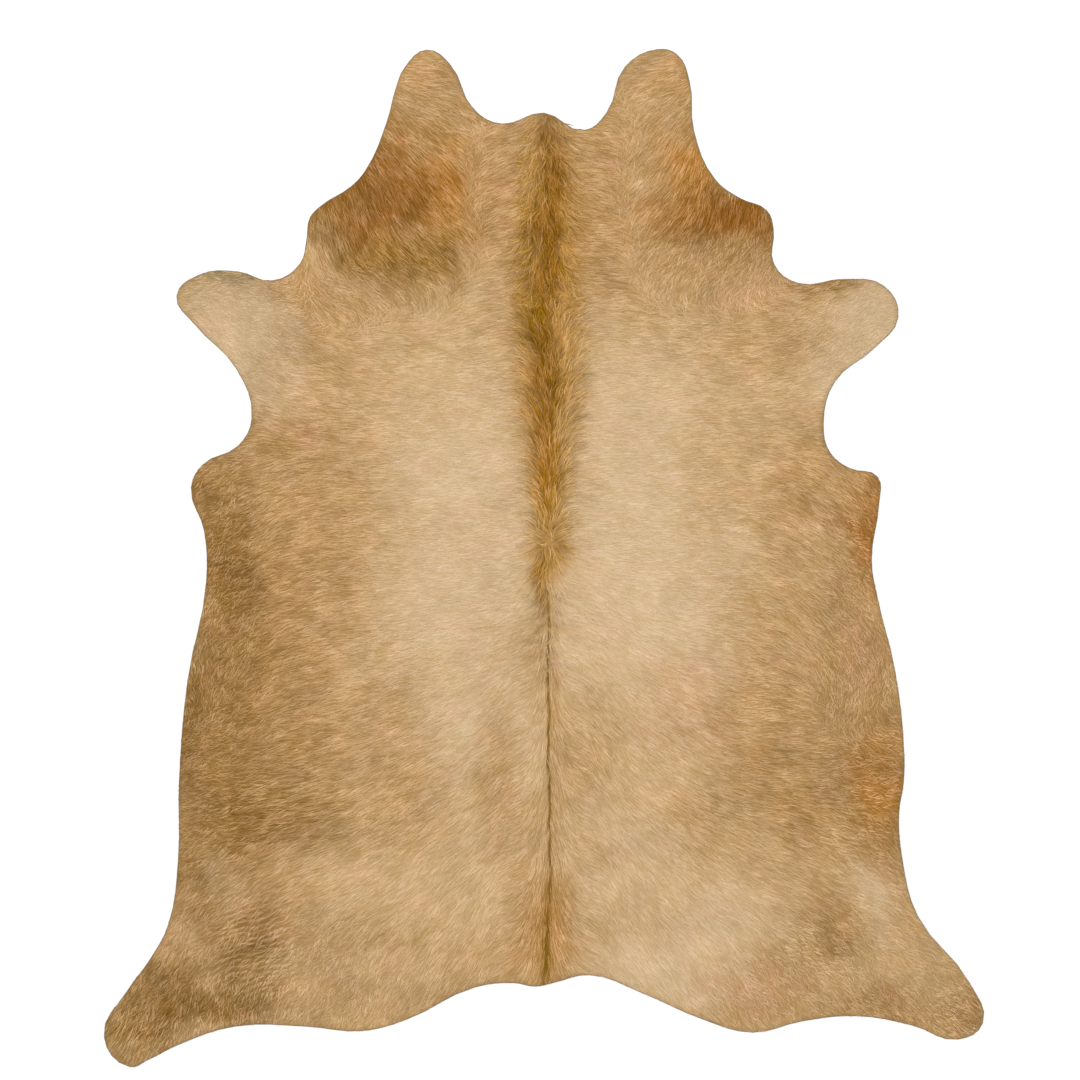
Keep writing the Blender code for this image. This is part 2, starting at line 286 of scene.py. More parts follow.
def ranged(tree, value, low, high, toLow, toHigh, kind="LINEAR"):
    return addNode(tree, "ShaderNodeMapRange", {
        "Value": value, "From Min": low, "From Max": high, "To Min": toLow, "To Max": toHigh,
    }, interpolation_type=kind).outputs["Result"]


def uneven(tree, amount, darkness, paleDepth, darkDepth):    # 1 in the middle, and further off it on dark coat
    depth = ranged(tree, darkness, 0.0, 1.0, paleDepth, darkDepth)
    off = addNode(tree, "ShaderNodeMath", {0: amount, 1: 0.5}, operation="SUBTRACT")
    return addNode(tree, "ShaderNodeMath", {0: off.outputs[0], 1: depth, 2: 1.0}, operation="MULTIPLY_ADD").outputs[0]


def buildTonesGroup():    # from a place on the hide to the coat's colour there, and how dark it is
    print("coat tones")
    tree = bpy.data.node_groups.new("coatTones", "ShaderNodeTree")
    tree.interface.new_socket("Place", in_out="INPUT", socket_type="NodeSocketVector")
    tree.interface.new_socket("Color", in_out="OUTPUT", socket_type="NodeSocketColor")
    tree.interface.new_socket("Darkness", in_out="OUTPUT", socket_type="NodeSocketFloat")
    place = tree.nodes.new("NodeGroupInput").outputs["Place"]

    rag = addNode(tree, "ShaderNodeTexNoise", {
        "Vector": place, "Scale": patchEdge["ragScale"], "Detail": 6.0, "Roughness": 0.65,
    })
    centred = addNode(tree, "ShaderNodeVectorMath", {
        0: rag.outputs["Color"], 1: (0.5, 0.5, 0.5),
    }, operation="SUBTRACT").outputs[0]
    colour = toneColour("tan")
    for group, rows in patches.items():
        wander = patchEdge["maneRag"] if group == "mane" else patchEdge["rag"]
        ragged = addNode(tree, "ShaderNodeVectorMath", {
            0: centred, 1: (wander, wander, 0), 2: place,
        }, operation="MULTIPLY_ADD").outputs[0]
        flat = addNode(tree, "ShaderNodeVectorMath", {0: ragged, 1: (1, 1, 0)}, operation="MULTIPLY").outputs[0]
        for tone, x, y, halfWidth, halfLength, turn, strength in rows:
            spot = addNode(tree, "ShaderNodeTexGradient", {"Vector": flat}, gradient_type="SPHERICAL")
            spot.texture_mapping.vector_type = "TEXTURE"
            spot.texture_mapping.translation = (x * mm, y * mm, 0)
            spot.texture_mapping.rotation = (0, 0, math.radians(turn))
            reach = patchEdge["reach"] * mm
            spot.texture_mapping.scale = (halfWidth * reach, halfLength * reach, 1)
            share = ranged(tree, spot.outputs["Fac"], 0.0, patchEdge["full"], 0.0, strength, "SMOOTHSTEP")
            colour = mixTones(tree, share, colour, toneColour(tone))

    hue = addNode(tree, "ShaderNodeTexNoise", {"Vector": place, "Scale": 1 / mottling["hueSize"], "Detail": 4.0})
    start, full = mottling["hueStart"], mottling["hueFull"]
    shares = [
        ranged(tree, hue.outputs["Fac"], 0.5 + way * start, 0.5 + way * full, 0.0, mottling["hueDepth"])
        for way in (1, -1)
    ]
    for share, name in zip(shares, ("rosy", "greenish")):
        tint = tuple(a / b for a, b in zip(toneColour(name), toneColour("tan")))
        colour = mixTones(tree, share, colour, tint, "MULTIPLY")

    bright = addNode(tree, "ShaderNodeRGBToBW", {"Color": colour})
    darkness = ranged(tree, bright.outputs["Val"], mottling["pale"], mottling["dark"], 0.0, 1.0)
    blotch = addNode(tree, "ShaderNodeTexNoise", {
        "Vector": place, "Scale": 1 / mottling["blotch"], "Detail": 6.0, "Roughness": 0.6,
    })
    value = uneven(tree, blotch.outputs["Fac"], darkness, mottling["paleDepth"], mottling["darkDepth"])
    shaded = addNode(tree, "ShaderNodeHueSaturation", {"Value": value, "Color": colour})
    out = tree.nodes.new("NodeGroupOutput")
    tree.links.new(shaded.outputs["Color"], out.inputs["Color"])
    tree.links.new(darkness, out.inputs["Darkness"])
    return tree


def newMaterial(name):
    material = bpy.data.materials.new(name)
    material.use_nodes = True
    tree = material.node_tree
    return material, tree, tree.nodes["Principled BSDF"]


def coatTone(tree, place):
    group = tree.nodes.new("ShaderNodeGroup")
    group.node_tree = bpy.data.node_groups["coatTones"]
    tree.links.new(place, group.inputs["Place"])
    return group.outputs["Color"], group.outputs["Darkness"]


def hairMaterial(name, look):    # a lock takes the coat's colour at its root, with painted shade there that lifts towards its tip, where a look can add a painted highlight
    material, tree, surface = newMaterial(name)
    root = addNode(tree, "ShaderNodeAttribute", attribute_name="root", attribute_type="GEOMETRY")
    tone = addNode(tree, "ShaderNodeAttribute", attribute_name="tone", attribute_type="GEOMETRY")
    along = addNode(tree, "ShaderNodeAttribute", attribute_name="along", attribute_type="GEOMETRY")
    edge = addNode(tree, "ShaderNodeAttribute", attribute_name="edge", attribute_type="GEOMETRY")
    colour, darkness = coatTone(tree, root.outputs["Vector"])
    own = uneven(tree, tone.outputs["Fac"], darkness, look["paleDepth"], look["darkDepth"])
    # painted shade from rootShade at the root to tipShade at 0.6 of the length; a tipShade over 1 is a painted
    # highlight
    shade = ranged(tree, along.outputs["Fac"], 0.0, 0.6, look["rootShade"], look["tipShade"])
    # near the hide's edge the edge attribute darkens it further: the dark cut line with painted shade
    shade = addNode(tree, "ShaderNodeMath", {0: shade, 1: edge.outputs["Fac"]}, operation="MULTIPLY").outputs[0]
    value = addNode(tree, "ShaderNodeMath", {0: own, 1: shade}, operation="MULTIPLY")
    if look["browner"]:
        colour = mixTones(tree, look["browner"], colour, toneColour("olive"))
    warmth = ranged(tree, tone.outputs["Fac"], 0.0, 1.0, look["darkWarmth"], look["paleWarmth"])
    shaded = addNode(tree, "ShaderNodeHueSaturation", {
        "Hue": look["hue"], "Saturation": warmth, "Value": value.outputs[0], "Color": colour,
    })
    tree.links.new(shaded.outputs["Color"], surface.inputs["Base Color"])
    surface.inputs["Roughness"].default_value = look["roughness"]
    surface.inputs["Specular IOR Level"].default_value = look["gloss"]
    return material


def underHairMaterial():    # the short hair between the locks, darker because it lies in their shade
    material, tree, surface = newMaterial("under_hair")
    place = tree.nodes.new("ShaderNodeTexCoord").outputs["Object"]
    colour, darkness = coatTone(tree, place)
    fine = addNode(tree, "ShaderNodeTexNoise", {"Vector": place, "Scale": 600.0, "Detail": 3.0})
    speck = ranged(tree, fine.outputs["Fac"], 0.3, 0.7, 0.9, 1.1)
    shade = ranged(tree, darkness, 0.0, 1.0, 0.78, 0.52)
    value = addNode(tree, "ShaderNodeMath", {0: speck, 1: shade}, operation="MULTIPLY").outputs[0]
    shaded = addNode(tree, "ShaderNodeHueSaturation", {"Saturation": 1.08, "Value": value, "Color": colour})
    bump = addNode(tree, "ShaderNodeBump", {"Strength": 0.5, "Distance": 0.0006, "Height": fine.outputs["Fac"]})
    tree.links.new(shaded.outputs["Color"], surface.inputs["Base Color"])
    tree.links.new(bump.outputs["Normal"], surface.inputs["Normal"])
    surface.inputs["Roughness"].default_value = 0.8
    surface.inputs["Specular IOR Level"].default_value = 0.1
    return material


def suedeMaterial():    # the flesh side: pale, napped, a little blotchy
    material, tree, surface = newMaterial("suede")
    place = tree.nodes.new("ShaderNodeTexCoord").outputs["Object"]
    cloud = addNode(tree, "ShaderNodeTexNoise", {"Vector": place, "Scale": 9.0, "Detail": 5.0, "Roughness": 0.6})
    nap = addNode(tree, "ShaderNodeTexNoise", {"Vector": place, "Scale": 900.0, "Detail": 3.0})
    colour = mixTones(tree, ranged(tree, cloud.outputs["Fac"], 0.3, 0.7, 0.0, 1.0),
                      toneColour("suede"), toneColour("darkSuede"))
    colour = mixTones(tree, ranged(tree, nap.outputs["Fac"], 0.35, 0.65, 0.0, 0.35), colour, toneColour("nap"))
    bump = addNode(tree, "ShaderNodeBump", {"Strength": 0.4, "Distance": 0.0004, "Height": nap.outputs["Fac"]})
    tree.links.new(colour, surface.inputs["Base Color"])
    tree.links.new(bump.outputs["Normal"], surface.inputs["Normal"])
    surface.inputs["Roughness"].default_value = 0.9
    return material


def cutEdgeMaterial():    # the knife's cut through the leather
    material, tree, surface = newMaterial("cut_edge")
    place = tree.nodes.new("ShaderNodeTexCoord").outputs["Object"]
    fibre = addNode(tree, "ShaderNodeTexNoise", {"Vector": place, "Scale": 350.0, "Detail": 3.0})
    colour = mixTones(tree, ranged(tree, fibre.outputs["Fac"], 0.3, 0.7, 0.0, 1.0),
                      toneColour("cut"), toneColour("darkCut"))
    bump = addNode(tree, "ShaderNodeBump", {"Strength": 0.4, "Distance": 0.0003, "Height": fibre.outputs["Fac"]})
    tree.links.new(colour, surface.inputs["Base Color"])
    tree.links.new(bump.outputs["Normal"], surface.inputs["Normal"])
    surface.inputs["Roughness"].default_value = 0.85
    return material


# The leather

leather = {
    "weld": 0.00002,        # the frame's triangles are loose, and meet again at this distance
    "rimTop": 0.00315,      # everything up to here that isn't the underside is the cut edge
    "rimMiddle": 0.0015,    # the hide is widest at this height
    "smooth": 60,           # edges flatter than this many degrees are smooth
}


def facesDown(face):
    return face.normal.z < -0.99


def buildLeather():
    print("leather")
    deselectAll()
    skin = bpy.data.objects.new("leather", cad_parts["hide"].data.copy())
    bpy.context.collection.objects.link(skin)
    skin.data.materials.clear()
    skin.select_set(True)
    bpy.context.view_layer.objects.active = skin
    bpy.ops.mesh.customdata_custom_splitnormals_clear()
    bpy.ops.object.mode_set(mode="EDIT")
    bpy.ops.mesh.select_all(action="SELECT")
    bpy.ops.mesh.remove_doubles(threshold=leather["weld"])
    bpy.ops.mesh.select_all(action="DESELECT")
    bpy.ops.object.mode_set(mode="OBJECT")
    for face in skin.data.polygons:
        face.select = min(skin.data.vertices[i].co.z for i in face.vertices) > leather["rimTop"]
    bpy.ops.object.mode_set(mode="EDIT")
    bpy.ops.mesh.select_mode(type="FACE")
    bpy.ops.mesh.subdivide(number_cuts=1)
    bpy.ops.mesh.select_all(action="SELECT")
    bpy.ops.mesh.quads_convert_to_tris()
    bpy.ops.object.mode_set(mode="OBJECT")
    for material in (underHairMaterial(), cutEdgeMaterial(), suedeMaterial()):
        skin.data.materials.append(material)
    for face in skin.data.polygons:
        onRim = max(skin.data.vertices[i].co.z for i in face.vertices) < leather["rimTop"]
        face.material_index = 2 if facesDown(face) else 1 if onRim else 0
    bpy.ops.object.shade_smooth_by_angle(angle=math.radians(leather["smooth"]))
    return skin


# Maps of the leather: how high its surface is, and how far a place lies inside its edge

class LeatherMap:
    step = 0.0025
    margin = 0.02
    slack = 0.0001
    rimSteps = 8

    def __init__(self, skin):
        self.low = np.array(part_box("hide")[0][:2]) - self.margin
        high = np.array(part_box("hide")[1][:2]) + self.margin
        self.shape = np.ceil((high - self.low) / self.step).astype(int) + 1
        tree = BVHTree.FromObject(skin, bpy.context.evaluated_depsgraph_get())
        rim = self.rimPoints(skin)
        edge = KDTree(len(rim))
        for number, place in enumerate(rim):
            edge.insert((*place, 0), number)
        edge.balance()
        self.height = np.full(self.shape, leather["rimTop"])
        self.inside = np.zeros(self.shape)
        down = Vector((0, 0, -1))
        for i in range(self.shape[0]):
            for j in range(self.shape[1]):
                x, y = self.low + np.array((i, j)) * self.step
                hit = tree.ray_cast(Vector((x, y, 0.1)), down)[0]
                away = edge.find((x, y, 0))[2]
                self.inside[i, j] = away if hit else -away
                if hit:
                    self.height[i, j] = max(hit.z, leather["rimTop"])

    def rimPoints(self, skin):    # every edge of the widest ring, cut into short steps
        points = []
        for edge in skin.data.edges:
            a, b = (skin.data.vertices[i].co for i in edge.vertices)
            if max(abs(a.z - leather["rimMiddle"]), abs(b.z - leather["rimMiddle"])) < self.slack:
                points += [a.lerp(b, k / self.rimSteps).to_2d() for k in range(self.rimSteps)]
        return points

    def read(self, values, places):
        spot = (places - self.low) / self.step
        spot = np.clip(spot, 0, self.shape - 1.001)
        cell = spot.astype(int)
        part = spot - cell
        i, j = cell[..., 0], cell[..., 1]
        u, v = part[..., 0], part[..., 1]
        return (values[i, j] * (1 - u) * (1 - v) + values[i + 1, j] * u * (1 - v)
                + values[i, j + 1] * (1 - u) * v + values[i + 1, j + 1] * u * v)


# The way the hair lies

spineRows = [    # y, x
    (-858, -2), (-745, 6), (-620, 13), (-580, 12), (-280, 8), (34, 9), (516, 8), (700, 8), (892, 2),
]
maneRows = [    # y, how far the mane or the parted hair reaches to the left and to the right
    (-850, 62, 66), (-600, 56, 60), (-400, 44, 44), (-236, 30, 34), (-104, 30, 30), (-50, 36, 34), (34, 42, 42),
    (110, 36, 40), (216, 44, 54), (316, 58, 76), (416, 68, 84), (532, 76, 72), (620, 74, 66), (716, 66, 66),
    (800, 52, 60), (892, 40, 50),
]
mane = {
    "meets": 0.516,         # hair from the neck and hair from the whorl meet here
    "meetsReach": 0.045,    # up to this far from there it turns aside, by this many degrees
    "meetsTurn": 70,
    "whorl": (0.009, 0.033),
    "whorlReach": 0.055,
    "startTurn": 9,         # degrees between the spine and the hair that grows on it
    "fanFrom": -0.1,        # from here up the hair fans out sooner than along the parting
    "fanOver": 0.15,
    "square": (1.9, 1.35),  # it lies square to the spine at this many of the mane's widths, by the parting and above
    "bodyFrom": (0.9, 0.7), # from here on it turns the way the body's hair lies, over so many widths
    "bodyOver": (1.1, 0.6),
    "leastWave": 0.4,       # the mane is straighter towards the whorl, and at its waviest up the neck
    "wavyFrom": 0.25,
    "wavyOver": 0.2,
}

# Strokes of the comb: place x and y, and the way the hair points there in degrees, 0 to the right, 90 to the neck
combing = {
    "left cheek": [
        (-238, 966, -5), (-228, 906, -15), (-270, 856, -42), (-298, 796, -55), (-328, 736, -64), (-388, 686, -76),
        (-428, 656, -80), (-228, 796, -50), (-188, 716, -44), (-228, 616, -40), (-288, 576, -40), (-348, 536, -36),
        (-428, 516, -30), (-168, 846, -25), (-150, 640, -30),
    ],
    "left neck": [(-98, 846, 190), (-98, 746, 192), (-98, 646, 188), (-98, 540, 184)],
    "left foreleg": [
        (-688, 546, 186), (-608, 560, 182), (-648, 456, 140), (-588, 456, 152), (-528, 500, 165), (-568, 336, 148),
        (-528, 306, 155), (-488, 316, 172),
    ],
    "left side": [
        (-408, 416, 160), (-288, 446, 172), (-348, 316, 178), (-228, 316, 180), (-128, 296, 180), (-348, 156, 180),
        (-208, 156, 180), (-108, 96, 180), (-288, -4, 181), (-148, -64, 181), (-388, -4, 183), (-488, -84, 190),
        (-388, -184, 188), (-248, -204, 190), (-128, -164, 197), (-88, -284, 217), (-188, -324, 206),
        (-308, -324, 198), (-428, -344, 190), (-528, -464, 188), (-428, -484, 194), (-308, -484, 206),
        (-208, -524, 213), (-118, -564, 224),
    ],
    "left belly": [
        (-628, 216, 199), (-668, 136, 215), (-608, 76, 212), (-548, 156, 196), (-688, -4, 224), (-678, -84, 226),
        (-698, -184, 268), (-628, -164, 214), (-588, -324, 200), (-708, -284, 285), (-678, -364, 190),
        (-648, -464, 185),
    ],
    "left leg": [
        (-428, -624, 202), (-528, -624, 210), (-648, -644, 217), (-728, -684, 226), (-608, -784, 205),
        (-528, -784, 207), (-688, -884, 238), (-768, -844, 228), (-828, -944, 236), (-658, -914, 262),
        (-578, -884, 250), (-428, -824, 232), (-288, -804, 232), (-328, -684, 216), (-188, -724, 226),
        (-88, -744, 240), (-48, -824, 248), (-248, -864, 236),
    ],
    "right cheek": [
        (232, 966, 185), (262, 896, 220), (252, 836, 236), (292, 786, 262), (242, 786, 228), (372, 686, 267),
        (432, 676, 262), (212, 716, 217), (202, 776, 216), (312, 636, 237), (352, 606, 230), (292, 586, 218),
        (232, 616, 214), (432, 606, 240), (392, 566, 219),
    ],
    "right neck": [(112, 876, -8), (122, 776, -4), (122, 656, 0), (122, 546, 0)],
    "right foreleg": [
        (672, 506, 12), (592, 536, 18), (592, 416, 34), (512, 376, 20), (522, 306, 4), (492, 506, 8),
    ],
    "right side": [
        (412, 456, 2), (312, 456, 0), (212, 436, 0), (412, 316, 0), (252, 296, 0), (132, 256, 0), (412, 156, -3),
        (252, 156, 0), (132, 96, 0), (172, -4, -4), (292, -4, -4), (392, -4, -10), (112, -84, -25), (212, -124, -20),
        (152, -164, -38), (312, -84, -8), (152, -284, -42), (272, -324, -32), (92, -404, -58), (192, -484, -42),
        (312, -484, -28), (432, -444, -8), (432, -304, -3), (332, -204, -14),
    ],
    "right belly": [
        (472, 216, -12), (552, 136, -34), (632, 136, -45), (572, 36, -36), (632, -4, -46), (512, -4, -26),
        (652, -84, -60), (592, -164, -38), (612, -204, -68), (642, -264, -112), (612, -304, -130), (512, -324, -3),
        (552, -404, 0), (672, -444, -4), (692, -344, -10),
    ],
    "right leg": [
        (112, -644, -62), (232, -644, -45), (352, -644, -35), (472, -644, -24), (612, -644, -30), (692, -584, -36),
        (192, -804, -52), (312, -804, -50), (432, -804, -45), (552, -804, -40), (672, -744, -30), (772, -804, -32),
        (832, -884, -36), (712, -884, -52), (612, -864, -50), (392, -904, -55),
    ],
}
combSoftness = 0.055
combRows = np.array([row for rows in combing.values() for row in rows], float)

# Places where the coat is rubbed up into short curls: x, y, half width, half length, how much
tousled = [
    (-680, -180, 160, 560, 0.9),
    (680, -240, 160, 520, 0.8),
    (-600, -830, 350, 190, 0.8),
    (650, -860, 350, 180, 0.7),
    (-620, 460, 180, 170, 0.8),
    (640, 460, 180, 150, 0.6),
    (0, -920, 300, 100, 0.4),
    (350, 590, 180, 80, 0.6),
    (-330, 540, 180, 80, 0.4),
]

# Places where the skin's folds show as ripples: x, y, half width, half length, turn, how far apart, how deep
ripples = [
    (-575, -790, 110, 150, 14, 11, 1.0),
    (-800, -950, 90, 80, 75, 8, 0.7),
    (-620, -915, 200, 50, 82, 8, 0.5),
    (-560, -480, 170, 120, 8, 9, 0.4),
    (-640, -60, 80, 160, 20, 9, 0.4),
    (830, -920, 90, 90, 50, 13, 0.8),
    (560, -790, 150, 90, 5, 10, 0.5),
    (640, -520, 130, 120, -10, 9, 0.4),
]
ripple = {
    "gather": 0.13,    # the hair is drawn towards a crest by this share of the distance between crests
    "lift": 0.8,       # and raised by this many millimetres
    "tone": 0.4,       # and is this much lighter on a crest and darker in a furrow: painted light and shade of the folds
}


def spineAt(y):
    waver = 0.0012 * np.sin(y * 37) + 0.0007 * np.sin(y * 101 + 1)
    return np.interp(y, column(spineRows, 0) * mm, column(spineRows, 1) * mm) + waver


def roughness(places):
    rough = np.zeros(len(places))
    for x, y, halfWidth, halfLength, much in tousled:
        away = np.hypot((places[:, 0] / mm - x) / halfWidth, (places[:, 1] / mm - y) / halfLength)
        rough = np.maximum(rough, much * (1 - smoothStep((away - 0.5) / 0.6)))
    return rough


def rippleCrest(places):    # -1 in a furrow to 1 on a crest, and the step that gathers the hair towards the crest
    crest = np.zeros(len(places))
    step = np.zeros_like(places)
    for x, y, halfWidth, halfLength, turn, apart, depth in ripples:
        off = places / mm - (x, y)
        away = np.hypot(off[:, 0] / halfWidth, off[:, 1] / halfLength)
        share = depth * (1 - smoothStep((away - 0.4) / 0.7))
        across = np.array((-math.sin(math.radians(turn)), math.cos(math.radians(turn))))
        u, v = off @ (across[1], -across[0]), off @ across
        phase = v / apart * 2 * math.pi + 1.8 * np.sin(u / 29 + v / 50) + 1.2 * np.sin(u / 12 - v / 23 + 2)
        crest += share * np.sin(phase)
        step += (share * np.cos(phase) * apart * ripple["gather"] * mm)[:, None] * across
    return crest, step


def maneReach(y, right):
    rows = column(maneRows, 0) * mm
    return np.where(right, np.interp(y, rows, column(maneRows, 2) * mm), np.interp(y, rows, column(maneRows, 1) * mm))


def bodyLay(places):    # each stroke of the comb counts for more the nearer it is
    angle = np.radians(combRows[:, 2])
    strokes = np.stack((np.cos(angle), np.sin(angle)), axis=1)
    lay = np.empty_like(places)
    for start in range(0, len(places), 20000):
        part = places[start:start + 20000]
        near = ((part[:, None, :] - combRows[None, :, :2] * mm) ** 2).sum(axis=2)
        lay[start:start + 20000] = (1 / (near + combSoftness ** 2) ** 2) @ strokes
    return lay / (np.linalg.norm(lay, axis=1)[:, None] + 1e-9)


def hairLay(places, shake=0):    # unit vectors, root to tip; shake mixes the locks where two ways of lying meet
    x, y = places[:, 0], places[:, 1]
    off = x - spineAt(y)
    spread = np.abs(off) / maneReach(y, off > 0)
    side = np.where(off > 0, 1.0, -1.0)
    meets = mane["meets"] + 0.010 * np.sin(x * 90) + 0.006 * np.sin(x * 230 + 1)
    upwards = (y > mane["whorl"][1]) & (y < meets)
    inMane = smoothStep((y - mane["fanFrom"]) / mane["fanOver"])
    turn = mane["startTurn"] + (90 - mane["startTurn"]) * smoothStep(spread / between(mane["square"], inMane))
    nearMeeting = np.clip(1 - np.abs(y - meets) / mane["meetsReach"], 0, 1)
    turn = np.radians(np.maximum(turn, mane["meetsTurn"] * nearMeeting * np.clip(spread * 4, 0, 1)))
    spine = np.stack((side * np.sin(turn), np.where(upwards, 1, -1) * np.cos(turn)), axis=1)

    fromWhorl = places - np.array(mane["whorl"])
    radius = np.linalg.norm(fromWhorl, axis=1) + 1e-6
    star = fromWhorl / radius[:, None]
    inWhorl = np.exp(-(radius / mane["whorlReach"]) ** 2)[:, None]
    spine = spine * (1 - inWhorl) + star * inWhorl

    onBody = smoothStep((spread - between(mane["bodyFrom"], inMane)) / between(mane["bodyOver"], inMane))[:, None]
    lay = bodyLay(places + shake) * onBody + spine * (1 - onBody)
    return lay / np.linalg.norm(lay, axis=1)[:, None]


# Locks of hair

def modelLock(cuts, swell):    # a three-sided spike, modelled once, as rows of (along, side, up) and its triangles
    deselectAll()
    bpy.ops.mesh.primitive_cone_add(vertices=3, radius1=1, radius2=0, depth=1, location=(0, 0, 0.5))
    spike = bpy.context.active_object
    bpy.ops.object.mode_set(mode="EDIT")
    for level in cuts:
        bpy.ops.mesh.select_all(action="SELECT")
        bpy.ops.mesh.bisect(plane_co=(0, 0, level), plane_no=(0, 0, 1), use_fill=False)
        if swell != 1:
            bpy.ops.transform.resize(value=(swell, swell, 1), center_override=(0, 0, level))
    bpy.ops.mesh.select_all(action="SELECT")
    bpy.ops.mesh.quads_convert_to_tris()
    bpy.ops.mesh.normals_make_consistent(inside=False)
    bpy.ops.object.mode_set(mode="OBJECT")
    spike.data.transform(spike.matrix_world)
    points = np.array([vertex.co for vertex in spike.data.vertices])
    faces = np.array([face.vertices for face in spike.data.polygons])
    bpy.data.objects.remove(spike, do_unlink=True)
    wide = np.ptp(points[points[:, 2] < 1e-4, 0])
    tall = np.ptp(points[points[:, 2] < 1e-4, 1])
    shape = np.stack((points[:, 2], points[:, 0] / wide, points[:, 1] / tall), axis=1)
    levels = sorted({round(float(v), 4) for v in shape[:, 0]})
    return {"shape": shape, "faces": faces, "levels": levels,
            "level": np.array([levels.index(round(float(v), 4)) for v in shape[:, 0]])}


def scatter(area, pitch, dice):    # roots in a shaken grid over a box given as x0, y0, x1, y1
    xs = np.arange(area[0], area[2], pitch)
    ys = np.arange(area[1], area[3], pitch)
    grid = np.stack(np.meshgrid(xs, ys, indexing="ij"), axis=2).reshape(-1, 2)
    return grid + dice.uniform(0, pitch, grid.shape)


def uneasy(i, j, a, b, seed, scale):    # a number from 0 to 1 that belongs to one grid point, the same each run
    return (np.sin(i * a + j * b + seed) * scale) % 1


def clumpOf(roots, pitch, seed):    # the nearest of a set of shaken grid points, and a number of its own for each
    cell = np.floor(roots / pitch).astype(int)
    best = np.full(len(roots), np.inf)
    centre = np.zeros_like(roots)
    own = np.zeros(len(roots))
    for dx in (-1, 0, 1):
        for dy in (-1, 0, 1):
            i, j = cell[:, 0] + dx, cell[:, 1] + dy
            shake = [uneasy(i, j, a, b, seed, 43758.5453) for a, b in ((12.9898, 78.233), (39.346, 11.135))]
            place = np.stack(((i + shake[0]) * pitch, (j + shake[1]) * pitch), axis=1)
            away = ((place - roots) ** 2).sum(axis=1)
            nearer = away < best
            best[nearer] = away[nearer]
            centre[nearer] = place[nearer]
            own[nearer] = uneasy(i, j, 3.17, 7.31, seed, 9631.13)[nearer]
    return centre, own


def lockObject(name, points, faces, attributes, material):
    mesh = bpy.data.meshes.new(name)
    mesh.vertices.add(len(points))
    mesh.vertices.foreach_set("co", points.astype(np.float32).ravel())
    mesh.loops.add(faces.size)
    mesh.loops.foreach_set("vertex_index", faces.astype(np.int32).ravel())
    mesh.polygons.add(len(faces))
    mesh.polygons.foreach_set("loop_start", np.arange(0, faces.size, 3, dtype=np.int32))
    mesh.update(calc_edges=True)
    mesh.shade_flat()
    for label, kind, values in attributes:
        data = mesh.attributes.new(label, kind, "POINT").data
        data.foreach_set("vector" if kind == "FLOAT_VECTOR" else "value", values.astype(np.float32).ravel())
    mesh.materials.append(material)
    piece = bpy.data.objects.new(name, mesh)
    bpy.context.collection.objects.link(piece)
    return piece


